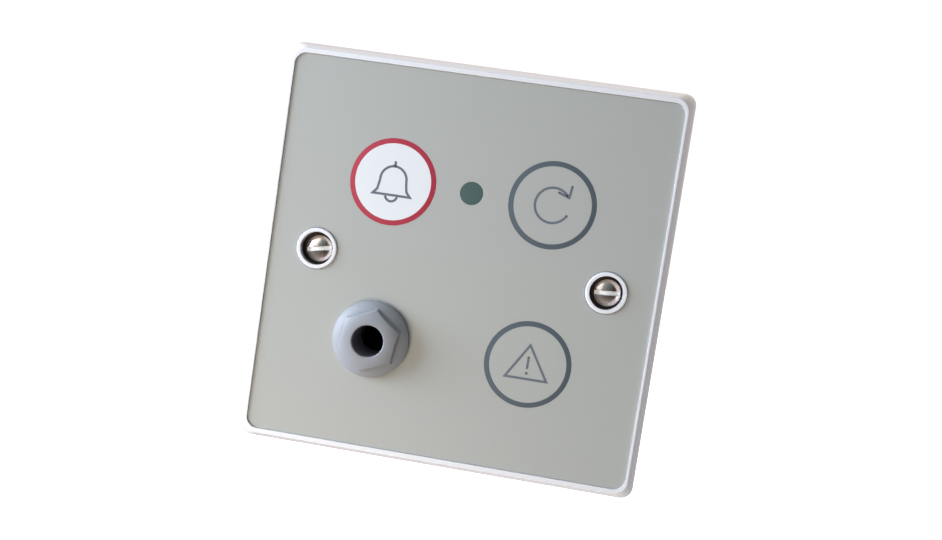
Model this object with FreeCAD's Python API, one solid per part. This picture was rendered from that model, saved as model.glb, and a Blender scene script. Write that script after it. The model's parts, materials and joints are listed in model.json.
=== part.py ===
import FreeCAD, Part
import math
import os

# Emergency call point: a single-gang wall plate with three film-covered keys, an indicator
# window, a jack for a pull lead and, behind the plate, the circuit board that carries them.
# Millimetres. X is right, Z is up, Y runs into the wall, and the wall face is Y = 0.

V = FreeCAD.Vector
DEPTH_AXIS = V(0, 1, 0)

# Wall plate moulding
plate_width = 86.0
plate_height = 86.0
plate_depth = 7.8
side_slope = 2.5
side_bulge = 0.3
land_depth = 1.8
land_draft = 0.1
plate_corner_r = 2.4
side_wall = 2.3
front_wall = 2.5
inner_corner_r = 1.2
rib_thickness = 1.2
rib_depth = 2.2
rib_inset_x = 4.2
rib_inset_z = 7.7

# Printed film in its recess
lip_side = 0.45
lip_top = 0.95
film_corner_r = 2.4
film_thickness = 0.4
film_set_back = 0.3
film_gap = 0.1
hole_gap = 0.15
print_thickness = 0.05

# Keys: the raised zones of the film, and the pads behind it
call_place = (-16.3, 15.9)
reset_place = (16.7, 15.9)
alert_place = (16.7, -17.0)
ring_r = 8.95
ring_line = 1.0
key_rise = 0.35
pad_r = 7.6
pad_gap = 0.25
pad_front_gap = 0.05
pad_edge = 0.4
pad_top = 1.2
pad_skirt = 1.0
pad_flange_r = 9.0
pad_flange = 0.9
pad_stop_gap = 0.1
pad_boss_r = 2.0
pad_rib = 0.8

# Indicator
indicator_place = (0.1, 15.9)
window_r = 2.4
window_gap = 0.02
window_ledge = 0.2
window_ledge_depth = 1.0
led_r = 2.5
led_length = 8.6
led_flange_r = 2.9
led_flange = 1.0
led_gap = 0.1
led_leg = 0.5
led_leg_pitch = 2.54

# Fixings of the plate to its wall box
fixing_spacing = 60.3
collar_r = 4.25
collar_rise = 0.4
collar_edge = 0.25
well_r = 3.45
well_depth = 2.3
seat_thickness = 2.0
boss_r = 5.2
shank_hole_r = 2.15
fixing_shift = 0.3
screw_head_r = 2.75
screw_head_edge = 1.0
screw_dome = 0.9
screw_neck_r = 1.55
screw_thread_r = 1.75
screw_neck_extra = 0.6
screw_length = 25.0
screw_tip = 0.6
slot_width = 0.9
slot_depth = 0.9
slot_angles = (10.5, 4.5)

# Circuit board, its pillars and screws
board_width = 60.0
board_height = 60.0
board_corner_r = 1.5
board_thickness = 1.6
pillar_height = 6.2
pillar_r = 2.6
pillar_taper = 0.3
pillar_inset_x = 3.5
pillar_inset_z = 3.8
board_screw_r = 1.2
board_screw_gap = 0.05
board_screw_length = 7.0
board_screw_head_r = 2.6
board_screw_head = 1.7
cross_width = 0.8
cross_length = 2.8
cross_depth = 0.8
board_hole_gap = 0.25
lug_width = 5.5
lug_height = 14.0
leg_hole_gap = 0.2
leg_stand_out = 1.0

# Tactile switches
switch_size = 6.0
switch_body = 3.5
switch_height = 5.0
cover_thickness = 0.25
cover_tab_width = 2.6
cover_tab_length = 2.2
stem_r = 1.75
stem_gap = 0.1
stem_collar_r = 2.15
stem_collar = 0.6
stem_nub_r = 0.9
switch_well_r = 2.35
switch_well_depth = 1.6
dome_r = 2.2
dome_rise = 0.5
dome_thickness = 0.1
dome_gap = 0.05
switch_leg_width = 0.7
switch_leg = 0.3
switch_leg_x = 3.25
switch_leg_z = 2.25
switch_leg_height = 1.0

# Jack socket and its nut
jack_place = (-16.15, -16.95)
jack_bore_r = 3.275
bush_r = 4.75
thread_gap = 0.05
housing_width = 15.5
housing_height = 17.0
housing_edge = 0.8
chamber_front = 2.6
chamber_side = 5.7
chamber_half = 3.0
rear_cover = 2.0
rear_cover_margin = 1.0
rear_cover_gap = 0.05
nut_height = 3.8
nut_rim_r = 8.0
nut_rim = 0.9
nut_lip = 0.8
nut_shoulder_r = 6.45
nut_shoulder = 2.6
nut_floor_r = 5.2
nut_floor = 2.45
nut_hex_flats = 11.4
nut_flat_lean = 20.0
nut_crown_r = 3.6
nut_crown_mid_r = 5.35
nut_crown_mid = 3.28
nut_mouth = 0.15
nut_turn = 22.0
contact_thickness = 0.4
contact_width = 5.0
contact_place = 5.3
contact_tag_width = 2.0
contact_tag_shift = 1.4
contact_slot_gap = 0.05
contact_tag = 3.0
contact_crest = 2.5
contact_spring = 4.5
contact_root = 1.0
contact_lead_in = 2.2
sleeve_crest_depth = 7.5
ring_crest_depth = 13.0
tip_crest_depth = 18.5
lead_r = 0.4
lead_bend = 3.0
lead_tag_inset = 1.2
lead_edge = 2.2

# Parts on the back of the board
block_ways = 6
block_pitch = 5.08
block_height = 8.2
block_depth = 10.0
block_chamfer = 2.0
block_well_r = 1.95
block_well_depth = 4.2
entry_width = 3.7
entry_depth = 3.9
entry_front = 1.1
entry_floor = 1.4
clamp_wall = 0.45
clamp_gap = 0.1
clamp_length = 4.2
clamp_screw_r = 1.1
clamp_head_r = 1.75
clamp_head = 1.6
clamp_slot = 0.6
pin_width = 0.9
chip_place = (0.0, 23.6)
chip_length = 9.9
chip_width = 3.9
chip_height = 1.5
chip_legs = 8
chip_pitch = 1.27
chip_leg_width = 0.42
chip_leg = 0.2
chip_leg_reach = 1.05
chip_stand = 0.15
capacitor_place = (20.6, -9.4)
capacitor_r = 3.15
capacitor_height = 7.2
capacitor_groove = 0.25
capacitor_legs = 2.5
resistor_place = (-11.0, 24.0)
resistor_rows = 3
resistor_columns = 2
resistor_pitch_x = 3.6
resistor_pitch_z = 2.6
resistor_length = 2.0
resistor_width = 1.25
resistor_height = 0.55

# Planes along the depth, from the front to the back
plate_front = -plate_depth
film_front = plate_front + film_set_back
film_back = film_front + film_thickness
wall_back = film_back + front_wall
collar_front = film_front - collar_rise
seat_plane = collar_front + well_depth
boss_back = seat_plane + seat_thickness
board_front = wall_back + pillar_height
board_back = board_front + board_thickness
stem_front = board_front - switch_height
pad_front = film_back - key_rise + pad_front_gap
flange_front = wall_back + pad_stop_gap
nut_front = film_front - nut_height
bush_front = nut_front + nut_lip
led_front = film_back + led_gap
chamber_back = wall_back + tip_crest_depth + contact_spring + contact_root
housing_back = chamber_back + rear_cover

# Sizes and places that follow from the others
front_width = plate_width - 2 * side_slope
front_height = plate_height - 2 * side_slope
recess_width = front_width - 2 * lip_side
recess_height = front_height - 2 * lip_top
film_width = recess_width - 2 * film_gap
film_height = recess_height - 2 * film_gap
inside_width = plate_width - 2 * side_wall
inside_height = plate_height - 2 * side_wall
rib_line_x = inside_width / 2 - rib_inset_x
rib_line_z = inside_height / 2 - rib_inset_z
field_r = ring_r - ring_line
board_left_notch = jack_place[0] + housing_width / 2 + 1.5
board_notch_top = jack_place[1] + housing_height / 2 + 1.5
pillar_x = board_width / 2 - pillar_inset_x
pillar_z = board_height / 2 - pillar_inset_z
pillars = [
    (-pillar_x, pillar_z),
    (pillar_x, pillar_z),
    (pillar_x, -pillar_z),
    (board_left_notch + pillar_inset_z, -pillar_z),
]
fixings = [(-fixing_spacing / 2, slot_angles[0]), (fixing_spacing / 2, slot_angles[1])]
keys = {"call": call_place, "reset": reset_place, "alert": alert_place}
block_width = block_ways * block_pitch
block_back = board_back + block_depth
way_places = [(i - (block_ways - 1) / 2) * block_pitch for i in range(block_ways)]
lead_x = board_left_notch + lead_edge


def disc(r, front, back, x=0.0, z=0.0):
    """A cylinder along the depth between two planes."""
    return Part.makeCylinder(r, back - front, V(x, front, z), DEPTH_AXIS)


def block(width, height, front, back, x=0.0, z=0.0):
    """A box centred on (x, z) between two planes."""
    return Part.makeBox(width, back - front, height, V(x - width / 2, front, z - height / 2))


def outline(width, height, r, y):
    """A rectangle with round corners, in the plane at depth y."""
    arcs = []
    for corner in range(4):
        start = 90.0 * corner
        across = 1 if corner in (0, 3) else -1
        up = 1 if corner in (0, 1) else -1
        centre_x = across * (width / 2 - r)
        centre_z = up * (height / 2 - r)
        turns = [math.radians(start + part) for part in (0, 45, 90)]
        arcs.append([V(centre_x + r * math.cos(a), y, centre_z + r * math.sin(a)) for a in turns])
    edges = []
    for this, following in zip(arcs, arcs[1:] + arcs[:1]):
        edges.append(Part.Arc(*this).toShape())
        edges.append(Part.LineSegment(this[2], following[0]).toShape())
    return Part.Wire(edges)


def slab(width, height, r, front, back):
    """A plate with round corners, centred on the origin's axis."""
    return Part.Face(outline(width, height, r, front)).extrude(V(0, back - front, 0))


def turned(profile, x=0.0, z=0.0):
    """A solid of revolution from (radius, depth) points; three points in a tuple make an arc."""
    edges = []
    last = None
    for step in profile + [profile[0]]:
        through = step if isinstance(step[0], tuple) else (step,)
        points = [V(x + r, y, z) for r, y in through]
        if last is not None and len(points) == 2:
            edges.append(Part.Arc(last, points[0], points[1]).toShape())
        elif last is not None:
            edges.append(Part.LineSegment(last, points[-1]).toShape())
        last = points[-1]
    return Part.Face(Part.Wire(edges)).revolve(V(x, 0, z), DEPTH_AXIS, 360)


def edges_at(shape, y, least_length=0.0):
    """The edges that lie in the plane at depth y."""
    flat = [e for e in shape.Edges if abs(e.BoundBox.YMin - y) < 0.01 and abs(e.BoundBox.YMax - y) < 0.01]
    return [e for e in flat if e.Length > least_length]


def plate_blank():
    """The outer form: bowed sides that slope back from a narrow lip to an upright land, hollow behind."""
    lip_corner_r = film_corner_r + lip_side
    front = outline(front_width, front_height, lip_corner_r, plate_front)
    chord_angle = math.atan2(side_slope - land_draft, plate_depth - land_depth)
    middle_in = (side_slope + land_draft) / 2 - side_bulge * math.cos(chord_angle)
    middle_y = -(plate_depth + land_depth) / 2 - side_bulge * math.sin(chord_angle)
    middle = outline(
        plate_width - 2 * middle_in, plate_height - 2 * middle_in, (lip_corner_r + plate_corner_r) / 2, middle_y
    )
    land = outline(plate_width - 2 * land_draft, plate_height - 2 * land_draft, plate_corner_r, -land_depth)
    back = outline(plate_width, plate_height, plate_corner_r, 0)
    form = Part.makeLoft([front, middle, land], True, False)
    form = form.fuse(Part.makeLoft([land, back], True, True))
    hollow = slab(inside_width, inside_height, inner_corner_r, wall_back, 0)
    return form.cut(hollow)


def plate_ribs():
    """Stiffening ribs on the inside of the front wall, and short ones to each fixing boss."""
    rib_back = wall_back + rib_depth
    ribs = []
    for side in (-1, 1):
        ribs.append(block(inside_width, rib_thickness, wall_back, rib_back, 0, side * rib_line_z))
        ribs.append(block(rib_thickness, inside_height, wall_back, rib_back, side * rib_line_x, 0))
        reach = inside_width / 2 - fixing_spacing / 2 - well_r
        middle = side * (inside_width / 2 - reach / 2)
        ribs.append(block(reach, rib_thickness, wall_back, boss_back, middle, 0))
    for x, z in pillars:
        side = 1 if z > 0 else -1
        reach = rib_line_z - abs(z) - pillar_r / 2
        ribs.append(block(rib_thickness, reach, wall_back, rib_back, x, side * (rib_line_z - reach / 2)))
    return ribs


def fixing_collar(x):
    """The raised collar round a screw's well, and the boss behind it."""
    collar = disc(collar_r, collar_front, film_back, x)
    collar = collar.makeFillet(collar_edge, edges_at(collar, collar_front))
    return collar.fuse(disc(boss_r, film_back, boss_back, x))


def board_pillar(x, z):
    """A tapered pillar with a pilot hole for the board's screw."""
    pillar = turned(
        [(0, wall_back), (pillar_r, wall_back), (pillar_r - pillar_taper, board_front), (0, board_front)], x, z
    )
    pilot = disc(board_screw_r + board_screw_gap, board_back - board_screw_length - 0.5, board_front, x, z)
    return pillar.cut(pilot)


def face_plate():
    """The moulded wall plate."""
    plate = plate_blank()
    recess = slab(recess_width, recess_height, film_corner_r, plate_front, film_back)
    plate = plate.cut(recess)
    plate = plate.fuse(plate_ribs() + [fixing_collar(x) for x, _ in fixings])
    plate = plate.fuse([board_pillar(x, z) for x, z in pillars])
    cuts = []
    for x, _ in fixings:
        cuts.append(disc(well_r, collar_front, seat_plane, x))
        cuts.append(disc(shank_hole_r, seat_plane, boss_back, x))
    for x, z in keys.values():
        cuts.append(disc(pad_r + pad_gap, film_back, wall_back, x, z))
    ledge_back = film_back + window_ledge_depth
    cuts.append(disc(window_r - window_ledge, film_back, ledge_back, *indicator_place))
    cuts.append(disc(led_r + hole_gap, ledge_back, wall_back, *indicator_place))
    cuts.append(disc(bush_r + hole_gap, film_back, wall_back, *jack_place))
    return plate.cut(cuts).removeSplitter()


def overlay_film():
    """The printed polyester film, pressed out into a low plateau over each key."""
    film = slab(film_width, film_height, film_corner_r, film_front, film_back)
    for x, _ in fixings:
        film = film.cut(disc(collar_r + hole_gap, film_front, film_back, x))
    film = film.cut(disc(bush_r + 2 * hole_gap, film_front, film_back, *jack_place))
    film = film.cut(disc(window_r, film_front, film_back, *indicator_place))
    for x, z in keys.values():
        film = film.cut(disc(ring_r, film_front, film_back, x, z))
        plateau = [
            (ring_r, film_front),
            (field_r, film_front - key_rise),
            (0, film_front - key_rise),
            (0, film_back - key_rise),
            (field_r - film_thickness / 2, film_back - key_rise),
            (ring_r - film_thickness / 2, film_back),
            (ring_r, film_back),
        ]
        film = film.fuse(turned(plateau, x, z))
    return film.removeSplitter()


def printed_ring(x, z):
    """The ring printed on the slope of a key's plateau."""
    top = film_front - key_rise
    profile = [
        (ring_r, film_front),
        (field_r, top),
        (field_r, top - print_thickness),
        (ring_r, film_front - print_thickness),
    ]
    return turned(profile, x, z)


def printed_field(x, z):
    """The colour printed inside a ring."""
    top = film_front - key_rise
    return disc(field_r, top - print_thickness, top, x, z)


def indicator_window():
    """The tinted clear window that fills the film's hole."""
    return disc(window_r - window_gap, film_front, film_back, *indicator_place)


def indicator_led():
    """A round lamp with a domed front, its flange and its two legs through the board."""
    x, z = indicator_place
    back = led_front + led_length
    shoulder = led_front + led_r
    bend = led_r * math.sqrt(0.5)
    profile = [
        (0, led_front),
        ((bend, shoulder - bend), (led_r, shoulder)),
        (led_r, back - led_flange),
        (led_flange_r, back - led_flange),
        (led_flange_r, back),
        (0, back),
    ]
    legs = []
    for side in (-1, 1):
        leg_x = x + side * led_leg_pitch / 2
        legs.append(block(led_leg, led_leg, back, board_back + leg_stand_out, leg_x, z))
    return turned(profile, x, z).fuse(legs)


def fixing_screw(x, slot_angle):
    """A slotted raised-head machine screw, seated in its well."""
    rim = seat_plane - screw_head_edge
    top = rim - screw_dome
    mid_r = screw_head_r * 0.6
    sphere_r = (screw_head_r**2 + screw_dome**2) / (2 * screw_dome)
    mid = top + sphere_r - math.sqrt(sphere_r**2 - mid_r**2)
    tip = seat_plane + screw_length
    neck_back = boss_back + screw_neck_extra
    profile = [
        (0, top),
        ((mid_r, mid), (screw_head_r, rim)),
        (screw_head_r, seat_plane),
        (screw_neck_r, seat_plane),
        (screw_neck_r, neck_back),
        (screw_thread_r, neck_back + screw_thread_r - screw_neck_r),
        (screw_thread_r, tip - screw_tip),
        (screw_thread_r - screw_tip, tip),
        (0, tip),
    ]
    centre = x + fixing_shift
    slot = block(3 * screw_head_r, slot_width, top, top + slot_depth, centre)
    slot.rotate(V(centre, 0, 0), DEPTH_AXIS, -slot_angle)
    return turned(profile, centre).cut(slot)


def key_pad(x, z):
    """The moulded pad behind a key: a cup with a retaining flange, a middle boss and ribs."""
    flange_back = flange_front + pad_flange
    under = pad_front + pad_top
    profile = [
        (0, pad_front),
        (pad_r - pad_edge, pad_front),
        (pad_r, pad_front + pad_edge),
        (pad_r, flange_front),
        (pad_flange_r, flange_front),
        (pad_flange_r, flange_back),
        (pad_r - pad_skirt, flange_back),
        (pad_r - pad_skirt, under),
        (0, under),
    ]
    reach = 2 * pad_r - pad_skirt
    ribs = [
        block(reach, pad_rib, under, flange_front, x, z),
        block(pad_rib, reach, under, flange_front, x, z),
    ]
    boss = disc(pad_boss_r, under, stem_front, x, z)
    return turned(profile, x, z).fuse(ribs + [boss]).removeSplitter()


def switch_base(x, z):
    """A tactile switch's moulded base with its well and four legs through the board."""
    front = board_front - switch_body + cover_thickness
    width = switch_size - 2 * cover_thickness
    base = block(width, switch_size, front, board_front, x, z)
    base = base.cut(disc(switch_well_r, front, front + switch_well_depth, x, z))
    knee = board_front - switch_leg_height
    for across in (-1, 1):
        for up in (-1, 1):
            leg_z = z + up * switch_leg_z
            out = switch_leg_x + switch_leg / 2 - width / 2
            middle = x + across * (width / 2 + out / 2)
            arm = block(out, switch_leg_width, knee, knee + switch_leg, middle, leg_z)
            leg_x = x + across * switch_leg_x
            leg = block(switch_leg, switch_leg_width, knee, board_back + leg_stand_out, leg_x, leg_z)
            base = base.fuse([arm, leg])
    return base.removeSplitter()


def switch_cover(x, z):
    """The pressed metal cover, with a hole for the stem and a tab folded down each side."""
    front = board_front - switch_body
    cover = block(switch_size, switch_size, front, front + cover_thickness, x, z)
    for side in (-1, 1):
        middle = x + side * (switch_size - cover_thickness) / 2
        tab_back = front + cover_thickness + cover_tab_length
        cover = cover.fuse(block(cover_thickness, cover_tab_width, front, tab_back, middle, z))
    return cover.cut(disc(stem_r + stem_gap, front, front + cover_thickness, x, z)).removeSplitter()


def switch_stem(x, z):
    """The stem that the pad pushes, held under the cover by its collar."""
    cover_back = board_front - switch_body + cover_thickness
    collar_top = cover_back + dome_gap
    well_floor = cover_back + switch_well_depth
    nub_back = well_floor - dome_rise - dome_gap
    profile = [
        (0, stem_front),
        (stem_r, stem_front),
        (stem_r, collar_top),
        (stem_collar_r, collar_top),
        (stem_collar_r, collar_top + stem_collar),
        (stem_nub_r, collar_top + stem_collar),
        (stem_nub_r, nub_back),
        (0, nub_back),
    ]
    return turned(profile, x, z)


def switch_dome(x, z):
    """The snap dome on the well's floor that returns the stem."""
    floor = board_front - switch_body + cover_thickness + switch_well_depth
    sphere_r = (dome_r**2 + dome_rise**2) / (2 * dome_rise)
    centre = floor - dome_rise + sphere_r
    cap = Part.makeSphere(sphere_r, V(x, centre, z))
    cap = cap.cut(Part.makeSphere(sphere_r - dome_thickness, V(x, centre, z)))
    return cap.common(disc(dome_r, floor - dome_rise, floor, x, z))


def circuit_board():
    """The board, cut back round the jack and the wall box's two lugs, with its drilled holes."""
    board = slab(board_width, board_height, board_corner_r, board_front, board_back)
    notch_width = board_width / 2 + board_left_notch
    notch_height = board_height / 2 + board_notch_top
    notch_x = board_left_notch - notch_width / 2
    notch_z = board_notch_top - notch_height / 2
    cuts = [block(notch_width, notch_height, board_front, board_back, notch_x, notch_z)]
    for side in (-1, 1):
        lug_x = side * (board_width - lug_width) / 2
        cuts.append(block(lug_width, lug_height, board_front, board_back, lug_x, 0))
    for x, z in pillars:
        cuts.append(disc(board_screw_r + board_hole_gap, board_front, board_back, x, z))
    for x, z in leg_places():
        cuts.append(disc(leg_hole_r(), board_front, board_back, x, z))
    for _, z in lead_starts():
        cuts.append(disc(lead_r + leg_hole_gap, board_front, board_back, lead_x, z))
    return board.cut(cuts)


def leg_hole_r():
    """The radius that clears the widest leg's corners."""
    return math.hypot(pin_width, pin_width) / 2 + leg_hole_gap / 2


def leg_places():
    """Where component legs pass through the board."""
    places = []
    for x, z in keys.values():
        for across in (-1, 1):
            for up in (-1, 1):
                places.append((x + across * switch_leg_x, z + up * switch_leg_z))
    for side in (-1, 1):
        places.append((indicator_place[0] + side * led_leg_pitch / 2, indicator_place[1]))
        places.append((capacitor_place[0] + side * capacitor_legs / 2, capacitor_place[1]))
    return places + [(x, 0.0) for x in way_places]


def board_screw(x, z):
    """A pan-head thread-forming screw with a cross recess."""
    back = board_back + board_screw_head
    profile = [
        (0, board_back - board_screw_length),
        (board_screw_r / 2, board_back - board_screw_length),
        (board_screw_r, board_back - board_screw_length + board_screw_r),
        (board_screw_r, board_back),
        (board_screw_head_r, board_back),
        (board_screw_head_r, board_back + board_screw_head / 2),
        ((board_screw_head_r * 0.75, back - board_screw_head * 0.12), (board_screw_head_r * 0.4, back)),
        (0, back),
    ]
    cross = [
        block(cross_length, cross_width, back - cross_depth, back, x, z),
        block(cross_width, cross_length, back - cross_depth, back, x, z),
    ]
    return turned(profile, x, z).cut(cross)


def jack_nut():
    """The moulded nut: a conical flange, six leaning flats and a domed crown round the bore."""
    x, z = jack_place
    shoulder_front = film_front - nut_shoulder
    floor_front = film_front - nut_floor
    flange = turned(
        [(0, film_front), (nut_rim_r, film_front), (nut_rim_r, film_front - nut_rim), (nut_shoulder_r, shoulder_front),
         (nut_floor_r, floor_front), (0, floor_front)], x, z
    )
    crown = turned(
        [
            (0, film_front),
            (nut_shoulder_r, film_front),
            (nut_shoulder_r, shoulder_front),
            ((nut_crown_mid_r, film_front - nut_crown_mid), (nut_crown_r, nut_front)),
            (0, nut_front),
        ], x, z
    )
    nut = crown.common(hex_frustum(x, z)).fuse(flange)
    mouth = turned(
        [(0, nut_front), (jack_bore_r + nut_mouth, nut_front), (jack_bore_r, nut_front + nut_mouth),
         (jack_bore_r, bush_front), (0, bush_front)], x, z
    )
    thread = disc(bush_r + thread_gap, bush_front, film_front, x, z)
    return nut.cut([mouth, thread]).removeSplitter()


def hex_frustum(x, z):
    """Six planes round the jack's axis, leaning inwards towards the front."""
    lean = math.tan(math.radians(nut_flat_lean))
    ends = []
    for depth in (film_front, nut_front):
        flat = nut_hex_flats / 2 + (depth - (film_front - nut_shoulder)) * lean
        corner = flat / math.cos(math.radians(30))
        turns = [math.radians(nut_turn + 60 * i) for i in range(6)]
        points = [V(x + corner * math.cos(a), depth, z + corner * math.sin(a)) for a in turns]
        ends.append(Part.makePolygon(points + points[:1]))
    return Part.makeLoft(ends, True, True)


def jack_housing():
    """The jack's moulded body, its threaded bush and the chamber for the springs."""
    x, z = jack_place
    body = block(housing_width, housing_height, wall_back, housing_back, x, z)
    corners = [e for e in body.Edges if e.BoundBox.YLength > chamber_back - wall_back]
    body = body.makeChamfer(housing_edge, corners)
    body = body.fuse(disc(bush_r, bush_front, wall_back, x, z))
    front = wall_back + chamber_front
    low = chamber_side + chamber_half
    cuts = [
        disc(jack_bore_r, bush_front, front, x, z),
        block(2 * chamber_side, 2 * chamber_half, front, chamber_back, x, z),
        block(2 * chamber_half, low, front, chamber_back, x, z + chamber_half - low / 2),
        block(
            housing_width - 2 * rear_cover_margin,
            housing_height - 2 * rear_cover_margin,
            chamber_back, housing_back, x, z,
        ),
    ]
    return body.cut(cuts)


def jack_rear_cover():
    """The cover that closes the jack's chamber, slotted for the three tags."""
    x, z = jack_place
    width = housing_width - 2 * rear_cover_margin - 2 * rear_cover_gap
    height = housing_height - 2 * rear_cover_margin - 2 * rear_cover_gap
    cover = block(width, height, chamber_back, housing_back, x, z)
    slot_t = contact_thickness + 2 * contact_slot_gap
    slot_w = contact_tag_width + 2 * contact_slot_gap
    for angle in (0, 90, 180):
        slot_x, slot_z = x + contact_place, z - contact_tag_shift
        slot = block(slot_t, slot_w, chamber_back, housing_back, slot_x, slot_z)
        slot.rotate(V(x, 0, z), DEPTH_AXIS, angle)
        cover = cover.cut(slot)
    return cover


def strip_outline(points, thickness):
    """The two sides of a bent strip whose middle line runs through the points."""
    left, right = [], []
    for i, (u, y) in enumerate(points):
        before = points[max(i - 1, 0)]
        after = points[min(i + 1, len(points) - 1)]
        into = (u - before[0], y - before[1]) if i > 0 else (after[0] - u, after[1] - y)
        out = (after[0] - u, after[1] - y) if i < len(points) - 1 else into
        a = math.atan2(into[1], into[0])
        b = math.atan2(out[1], out[0])
        half_turn = (b - a) / 2
        reach = thickness / 2 / math.cos(half_turn)
        across = (-math.sin(a + half_turn) * reach, math.cos(a + half_turn) * reach)
        left.append((u + across[0], y + across[1]))
        right.append((u - across[0], y - across[1]))
    return left + right[::-1]


def jack_contact(angle, crest_depth):
    """A contact spring: a tag through the rear cover, a long arm and a crest near the axis."""
    x, z = jack_place
    crest = wall_back + crest_depth
    path = [
        (contact_place, chamber_back),
        (contact_place, crest + contact_spring),
        (contact_crest, crest),
        (contact_crest + 1.0, crest - contact_lead_in),
    ]
    sides = [V(x + u, y, z - contact_width / 2) for u, y in strip_outline(path, contact_thickness)]
    strip = Part.Face(Part.makePolygon(sides + sides[:1])).extrude(V(0, 0, contact_width))
    tag_back = housing_back + contact_tag
    tag_x, tag_z = x + contact_place, z - contact_tag_shift
    strip = strip.fuse(block(contact_thickness, contact_tag_width, chamber_back, tag_back, tag_x, tag_z))
    strip.rotate(V(x, 0, z), DEPTH_AXIS, angle)
    return strip.removeSplitter()


def lead_starts():
    """Where each link wire leaves its tag: the tag's face that looks towards the board."""
    x, z = jack_place
    return [
        (x + contact_place + contact_thickness / 2, z - contact_tag_shift),
        (x - contact_tag_shift + contact_tag_width / 2, z - contact_place),
        (x - contact_place + contact_thickness / 2, z + contact_tag_shift),
    ]


def link_wire(start_x, z):
    """A bare link from a tag, across and down through the board."""
    y = housing_back + contact_tag - lead_tag_inset
    bend_x = lead_x - lead_bend
    bend_y = y - lead_bend
    corner = math.sqrt(0.5) * lead_bend
    middle = V(bend_x + corner, bend_y + corner, z)
    path = Part.Wire([
        Part.LineSegment(V(start_x, y, z), V(bend_x, y, z)).toShape(),
        Part.Arc(V(bend_x, y, z), middle, V(lead_x, bend_y, z)).toShape(),
        Part.LineSegment(V(lead_x, bend_y, z), V(lead_x, board_front - leg_stand_out, z)).toShape(),
    ])
    ring = Part.Wire(Part.makeCircle(lead_r, V(start_x, y, z), V(1, 0, 0)))
    return path.makePipeShell([ring], True, False)


def terminal_block():
    """The screw terminal body: wells for the screws and an opening below each for a wire."""
    body = block(block_width, block_height, board_back, block_back)
    top_edge = [
        e for e in body.Edges
        if abs(e.BoundBox.YMin - block_back) < 0.01 and abs(e.BoundBox.ZMin - block_height / 2) < 0.01
        and e.BoundBox.XLength > block_width / 2
    ]
    body = body.makeChamfer(block_chamfer, top_edge)
    entry_y = board_back + entry_front
    depth = block_height - entry_floor
    cuts = []
    for x in way_places:
        cuts.append(disc(block_well_r, block_back - block_well_depth, block_back, x))
        entry = block(entry_width, depth, entry_y, entry_y + entry_depth, x, -block_height / 2 + depth / 2)
        cuts.append(entry)
        cuts.append(disc(clamp_screw_r + clamp_gap, entry_y, block_back, x))
        cuts.append(block(pin_width, pin_width, board_back, entry_y, x))
    return body.cut(cuts)


def terminal_clamp(x):
    """The square cage that grips a wire, with its pin through the board."""
    width = entry_width - 2 * clamp_gap
    front = board_back + entry_front + clamp_gap
    back = front + entry_depth - 2 * clamp_gap
    cage = block(width, clamp_length, front, back, x)
    inside = block(width - 2 * clamp_wall, clamp_length, front + clamp_wall, back - 2 * clamp_wall, x)
    cage = cage.cut([inside, disc(clamp_screw_r + clamp_gap / 2, back - 2 * clamp_wall, back, x)])
    side = pin_width - clamp_gap
    return cage.fuse(block(side, side, board_front - leg_stand_out, front, x))


def terminal_screw(x):
    """A slotted clamp screw in its well."""
    head_front = block_back - block_well_depth
    head_back = head_front + clamp_head
    tip = board_back + entry_front + entry_depth - 4 * clamp_wall
    screw = turned(
        [(0, head_back), (clamp_head_r, head_back), (clamp_head_r, head_front), (clamp_screw_r, head_front),
         (clamp_screw_r, tip), (0, tip)], x
    )
    return screw.cut(block(2 * clamp_head_r, clamp_slot, head_back - clamp_head / 2, head_back, x))


def controller_chip():
    """A small surface-mount controller with a row of bent legs along each side."""
    x, z = chip_place
    front = board_back + chip_stand
    chip = block(chip_length, chip_width, front, front + chip_height, x, z)
    shoulder = front + chip_height / 2
    for i in range(chip_legs):
        leg_x = x + (i - (chip_legs - 1) / 2) * chip_pitch
        for side in (-1, 1):
            start = side * chip_width / 2
            knee = start + side * chip_leg_reach / 2
            toe = start + side * chip_leg_reach
            steps = [
                (start, shoulder), (knee, shoulder), (knee, board_back + chip_leg), (toe, board_back + chip_leg),
                (toe, board_back), (knee - side * chip_leg, board_back),
                (knee - side * chip_leg, shoulder - chip_leg), (start, shoulder - chip_leg),
            ]
            points = [V(leg_x - chip_leg_width / 2, y, z + w) for w, y in steps]
            leg = Part.Face(Part.makePolygon(points + points[:1])).extrude(V(chip_leg_width, 0, 0))
            chip = chip.fuse(leg)
    return chip.removeSplitter()


def capacitor():
    """An electrolytic capacitor's can with its crimped neck, standing on the board."""
    x, z = capacitor_place
    back = board_back + capacitor_height
    neck = board_back + capacitor_height / 5
    profile = [
        (0, board_back),
        (capacitor_r, board_back),
        (capacitor_r, neck - capacitor_groove),
        (capacitor_r - capacitor_groove, neck),
        (capacitor_r, neck + capacitor_groove),
        (capacitor_r, back - capacitor_groove),
        (capacitor_r - capacitor_groove, back),
        (0, back),
    ]
    legs = []
    for side in (-1, 1):
        leg_x = x + side * capacitor_legs / 2
        legs.append(block(led_leg, led_leg, board_front - leg_stand_out, board_back, leg_x, z))
    return turned(profile, x, z).fuse(legs)


def resistors():
    """Chip resistors in a small grid on the back of the board."""
    chips = []
    for row in range(resistor_rows):
        for column in range(resistor_columns):
            x = resistor_place[0] + (column - (resistor_columns - 1) / 2) * resistor_pitch_x
            z = resistor_place[1] + (row - (resistor_rows - 1) / 2) * resistor_pitch_z
            back = board_back + resistor_height
            chips.append(block(resistor_length, resistor_width, board_back, back, x, z))
    return Part.Compound(chips)


def save(node, shape):
    """Write one node."""
    shape.exportStep("parts/" + node + ".step")


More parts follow.
